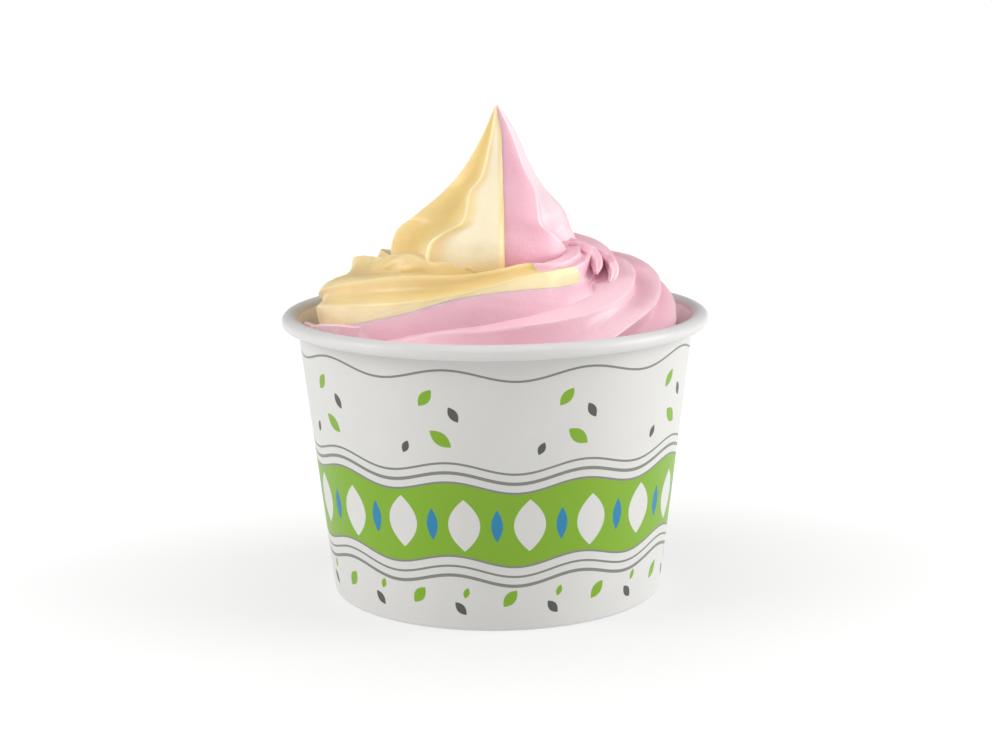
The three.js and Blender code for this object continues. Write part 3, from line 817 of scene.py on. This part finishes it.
def makeSoftServe(name, look):
    # frozen yogurt, whipped and piped: dense and milky, so light sinks in a little, under a moist satin skin
    material, tree = newMaterial(name)
    place = addNode(tree, "TexCoord", output="Object")
    valleys, edges, paintedLightAmount = (addNode(tree, "Attribute", output="Fac", attribute_name=mark)
                            for mark in ("hollow", "ridgeHighlight", "paintedLight"))
    cloud, grain, bubbles = (addNode(tree, "TexNoise", {"Vector": place, "Scale": 1 / (softServe[size] * mm)})
                             for size in ("cloud", "iceGrain", "airBubble"))
    # over the body colour: painted shade in the valleys, painted sheen where light falls most, painted highlight on
    # ridges
    hollow = addNode(tree, "MapRange", (valleys, *softServe["hollowMap"]))
    ridgeHighlight = addNode(tree, "MapRange", (edges, *softServe["ridgeHighlightMap"]))
    swellAndPaintedLight = addNode(tree, "Math", (paintedLightAmount, softServe["paintedLightShare"]), operation="MULTIPLY")
    body = addNode(tree, "Mix", {0: hollow, 6: linear(look["body"]), 7: linear(look["hollow"])}, 2, data_type="RGBA")
    body = addNode(tree, "Mix", {0: swellAndPaintedLight, 6: body, 7: linear(look["paintedLight"])}, 2, data_type="RGBA")
    body = addNode(tree, "Mix", {0: ridgeHighlight, 6: body, 7: linear(look["ridge"])}, 2, data_type="RGBA")
    tone = addNode(tree, "MapRange", (cloud, *noiseSpan, *softServe["tone"]))
    body = addNode(tree, "VectorMath", {0: body, "Scale": tone}, operation="SCALE")
    surface = addNode(tree, "Math", (bubbles, softServe["bubbleShare"], grain), operation="MULTIPLY_ADD")
    strength, depth = softServe["bump"]
    skin = addNode(tree, "BsdfPrincipled", {
        "Base Color": body,
        "Roughness": addNode(tree, "MapRange", (bubbles, *noiseSpan, *softServe["roughness"])),
        "Normal": addNode(tree, "Bump", {"Height": surface, "Strength": strength, "Distance": depth * mm}),
        "IOR": 1.4,
        "Coat Weight": 0.6,
        "Coat Roughness": 0.32,
        "Subsurface Weight": 0.35,
        "Subsurface Radius": look["scatter"],
        "Subsurface Scale": softServe["scatterDepth"] * mm,
    })
    addNode(tree, "OutputMaterial", {"Surface": skin})
    return material


paperboard = {
    "white": "#D6D5D3",
    # the inner face's lighter tone of the same board: painted light for the shaded inside of the cup
    "inside": "#F6F5F2",
    "fibre": 0.9,  # mm, coarser than real fibres so that they show
    "mottle": 14,  # mm
    "tone": (0.975, 1.015),
    "roughness": (0.38, 0.52),
    "bump": (0.25, 0.03),  # strength and mm
}

wallPrint = {
    "ripple": 1.2,  # mm, how far the stripes rise and fall
    "ripples": 9,
    "rippleShift": 35,  # degrees
    "inks": {"green": "#78A600", "charcoal": "#4B4A47", "blue": "#007AA7", "grey": "#7C7C74", "white": "#D3D2CF"},
    # stripes from the foot up: height in mm at which each colour starts
    "stripes": [
        (0.0, "white"),
        (11.2, "grey"), (11.8, "white"), (13.4, "grey"), (14.0, "white"),
        (15.6, "grey"), (16.1, "green"), (32.1, "grey"), (32.6, "white"),
        (34.2, "grey"), (34.8, "white"), (36.4, "grey"), (37.0, "white"),
        (56.6, "grey"), (57.2, "white"),
    ],
    # rows of motifs: shape, how many round the cup, turn of the first in degrees, height of the middle,
    # half width and half height in mm, lean in degrees, ink
    "motifs": [
        ("petal", 18, 10, 24.1, 3.5, 5.8, 0, "white"),
        ("petal", 18, 0, 24.1, 1.25, 3.6, 0, "blue"),
        ("petal", 9, 20, 52.0, 1.15, 2.3, 38, "green"),
        ("petal", 9, 28, 48.6, 0.95, 1.9, -30, "charcoal"),
        ("petal", 9, 24, 43.2, 1.4, 2.8, -52, "green"),
        ("petal", 9, 13, 41.0, 0.8, 1.5, 25, "charcoal"),
        ("petal", 12, 4, 7.6, 1.3, 2.4, 40, "green"),
        ("petal", 12, 18, 5.2, 1.0, 1.9, -42, "charcoal"),
        ("petal", 12, 20, 8.8, 0.7, 1.3, 20, "green"),
    ],
    "edge": 0.05,  # mm, how soft the ink's edge is
}


def printWall(tree, place):
    # flexo print, flat inks with crisp edges, laid out on the wall unrolled: x along it and y up it, in mm
    x, y, z = (addNode(tree, "SeparateXYZ", (place,), axis) for axis in range(3))
    front = addNode(tree, "Math", (y, -1.0), operation="MULTIPLY")
    angle = addNode(tree, "Math", (x, front), operation="ARCTAN2")
    meanRadius = (cup["footRadius"] + cup["wallTopRadius"]) / 2
    around = addNode(tree, "Math", (angle, meanRadius), operation="MULTIPLY")
    height = addNode(tree, "Math", (z, mm), operation="DIVIDE")
    flat = addNode(tree, "CombineXYZ", (around, height))

    turn = addNode(tree, "Math", (angle, float(wallPrint["ripples"]), math.radians(wallPrint["rippleShift"])),
                   operation="MULTIPLY_ADD")
    wave = addNode(tree, "Math", (turn,), operation="SINE")
    rise = addNode(tree, "Math", (wave, wallPrint["ripple"], height), operation="MULTIPLY_ADD")
    share = addNode(tree, "Math", (rise, cup["height"]), operation="DIVIDE")
    stripes = addNode(tree, "ValToRGB", (share,))
    ramp = stripes.node.color_ramp
    ramp.interpolation = "CONSTANT"
    while len(ramp.elements) > 1:
        ramp.elements.remove(ramp.elements[-1])
    for start, ink in wallPrint["stripes"]:
        element = ramp.elements.new(start / cup["height"]) if start else ramp.elements[0]
        element.position = start / cup["height"]
        element.color = linear(wallPrint["inks"][ink])

    colour = stripes
    for shape, count, first, middle, halfWidth, halfHeight, lean, ink in wallPrint["motifs"]:
        pitch = 2 * math.pi * meanRadius / count
        start = (math.radians(first) * meanRadius, middle, 0.0)
        local = addNode(tree, "VectorMath", (flat, start), operation="SUBTRACT")
        half, tall = pitch / 2, cup["height"]
        local = addNode(tree, "VectorMath", (local, (half, tall, 1.0), (-half, -tall, -1.0)), operation="WRAP")
        local = addNode(tree, "VectorRotate", {"Vector": local, "Angle": math.radians(lean)}, rotation_type="Z_AXIS")
        local = addNode(tree, "VectorMath", (local, (halfWidth, halfHeight, 1.0)), operation="DIVIDE")
        across, up = (addNode(tree, "SeparateXYZ", (local,), axis) for axis in range(2))
        side = addNode(tree, "Math", (across,), operation="ABSOLUTE")
        reach = addNode(tree, "Math", (up, up, side), operation="MULTIPLY_ADD")
        soft = wallPrint["edge"] / halfWidth
        inside = addNode(tree, "MapRange", (reach, 1 - soft, 1 + soft, 1.0, 0.0))
        colour = addNode(tree, "Mix", {0: inside, 6: colour, 7: linear(wallPrint["inks"][ink])}, 2, data_type="RGBA")
    printed, inner = (addNode(tree, "Attribute", output="Fac", attribute_name=mark) for mark in ("printed", "inner"))
    # the inner face takes that lighter tone: painted light
    bare = addNode(tree, "Mix", {0: inner, 6: linear(paperboard["white"]), 7: linear(paperboard["inside"])}, 2,
                   data_type="RGBA")
    return addNode(tree, "Mix", {0: printed, 6: bare, 7: colour}, 2, data_type="RGBA")


def makePaperboard(name, printed):
    # bleached paperboard coated with a thin film of plastic: satin white, faintly mottled by its fibres
    material, tree = newMaterial(name)
    place = addNode(tree, "TexCoord", output="Object")
    fibres, mottle = (addNode(tree, "TexNoise", {"Vector": place, "Scale": 1 / (paperboard[size] * mm),
                                                 "Detail": 4.0, "Roughness": 0.65})
                      for size in ("fibre", "mottle"))
    tone = addNode(tree, "MapRange", (mottle, *noiseSpan, *paperboard["tone"]))
    colour = printWall(tree, place) if printed else linear(paperboard["white"])[:3]
    strength, depth = paperboard["bump"]
    board = addNode(tree, "BsdfPrincipled", {
        "Base Color": addNode(tree, "VectorMath", {0: colour, "Scale": tone}, operation="SCALE"),
        "Roughness": addNode(tree, "MapRange", (fibres, *noiseSpan, *paperboard["roughness"])),
        "Normal": addNode(tree, "Bump", {"Height": fibres, "Strength": strength, "Distance": depth * mm}),
        "IOR": 1.5,
        "Coat Weight": 0.15,
        "Coat Roughness": 0.25,
    })
    addNode(tree, "OutputMaterial", {"Surface": board})
    return material


# Stage

stage = {
    "floor": "#898988",
    "floorSize": 40.0,
    "floorGlow": (0.65, 0.8),  # by the cup and far from it: the glow is weaker by the cup, a painted shade round its foot
    "glowReach": (45, 115),  # mm from the cup's axis between which it grows
    "sky": "#FFFFFF",
    # how bright the room is at each height, from 0 at the horizon to 1 overhead
    "room": [(0.0, 1.0), (0.04, 1.0), (0.08, 0.03), (0.35, 0.03), (0.95, 0.8)],
    # softbox: the way its light comes from, in degrees round from the right and up, its width and its strength
    "softboxes": {"left": (195, 28, 40, 1.6), "right": (-3, 22, 40, 2.35), "front": (-118, 52, 36, 0.32)},
}


def buildStage():
    half = stage["floorSize"] / 2
    mesh = bpy.data.meshes.new("floor")
    mesh.from_pydata([(-half, -half, 0), (half, -half, 0), (half, half, 0), (-half, half, 0)], [], [(0, 1, 2, 3)])
    floor = bpy.data.objects.new("floor", mesh)
    bpy.context.scene.collection.objects.link(floor)
    material, tree = newMaterial("painted board, matt white")  # hardly a shine, so the shadow stays faint
    away = addNode(tree, "VectorMath", (addNode(tree, "TexCoord", output="Object"),), "Value", operation="LENGTH")
    near, far = (reach * mm for reach in stage["glowReach"])
    # the board glows, and glows less near the cup: a painted shade round its foot
    table = addNode(tree, "BsdfPrincipled", {
        "Base Color": linear(stage["floor"]),
        "Roughness": 0.8,
        "Specular IOR Level": 0.1,
        "Emission Color": linear(stage["sky"]),
        "Emission Strength": addNode(tree, "MapRange", (away, near, far, *stage["floorGlow"])),
    })
    addNode(tree, "OutputMaterial", {"Surface": table})
    mesh.materials.append(material)

    world = bpy.data.worlds.new("studio")
    world.use_nodes = True
    tree = world.node_tree
    tree.nodes.clear()
    up = addNode(tree, "SeparateXYZ", (addNode(tree, "TexCoord", output="Generated"),), "Z")
    fade = addNode(tree, "ValToRGB", (up,))
    while len(fade.node.color_ramp.elements) < len(stage["room"]):
        fade.node.color_ramp.elements.new(1.0)
    for element, (height, strength) in zip(fade.node.color_ramp.elements, stage["room"]):
        element.position = height
        element.color = (strength, strength, strength, 1)
    room = addNode(tree, "Background", {"Color": linear(stage["sky"]), "Strength": fade})
    addNode(tree, "OutputWorld", {"Surface": room})
    bpy.context.scene.world = world

    for name, (turn, rise, width, strength) in stage["softboxes"].items():
        light = bpy.data.lights.new(name + " softbox", "SUN")
        light.angle = math.radians(width)
        light.energy = strength
        lamp = bpy.data.objects.new(name + " softbox", light)
        turn, rise = math.radians(turn), math.radians(rise)
        source = Vector((math.cos(rise) * math.cos(turn), math.cos(rise) * math.sin(turn), math.sin(rise)))
        lamp.rotation_euler = source.to_track_quat("Z", "Y").to_euler()
        bpy.context.scene.collection.objects.link(lamp)


# the photograph's camera, fitted to the cup: mm and radians
view = {"distance": 470.43, "elevation": 0.1932, "roll": -0.0101, "aimX": 0.09, "aimZ": 49.38, "focalPixels": 2071}


def buildCamera():
    camera = bpy.data.cameras.new("camera")
    camera.sensor_fit = "HORIZONTAL"
    camera.sensor_width = 36
    camera.lens = view["focalPixels"] / imageWidth * camera.sensor_width
    eye = bpy.data.objects.new("camera", camera)
    bpy.context.scene.collection.objects.link(eye)
    rise, roll = view["elevation"], view["roll"]
    forward = Vector((0, math.cos(rise), -math.sin(rise)))
    right = Vector((1, 0, 0))
    up = right.cross(forward)
    rolledRight = right * math.cos(roll) + up * math.sin(roll)
    rolledUp = up * math.cos(roll) - right * math.sin(roll)
    aim = Vector((view["aimX"], 0, view["aimZ"])) * mm
    turn = Matrix((rolledRight, rolledUp, -forward)).transposed().to_4x4()
    eye.matrix_world = Matrix.Translation(aim - forward * view["distance"] * mm) @ turn
    bpy.context.scene.camera = eye
    bpy.context.scene.view_settings.view_transform = "Standard"


def dress(piece, material, node, sharpDegrees):
    shadeSmooth(piece, sharpDegrees)
    piece.data.materials.clear()
    piece.data.materials.append(material)
    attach(piece, "root")
    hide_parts(node)


buildCamera()
buildStage()
print("stage and camera ready")

pink, yellow = buildYogurt()
for piece in (pink, yellow):
    markRelief(piece)
print("yogurt:", len(pink.data.polygons), "pink faces,", len(yellow.data.polygons), "yellow faces")

wall = buildCupWall()
base = buildCupBase()
print("cup:", len(wall.data.polygons), "wall faces,", len(base.data.polygons), "base faces")

strawberry = makeSoftServe("strawberry frozen yogurt, piped", softServe["strawberry"])
mango = makeSoftServe("mango frozen yogurt, piped", softServe["mango"])
dress(pink, strawberry, "yogurt_pink", 50)
dress(yellow, mango, "yogurt_yellow", 50)
dress(wall, makePaperboard("coated paperboard, printed", True), "cup_wall", 40)
dress(base, makePaperboard("coated paperboard, plain", False), "cup_base", 40)
print("materials ready")
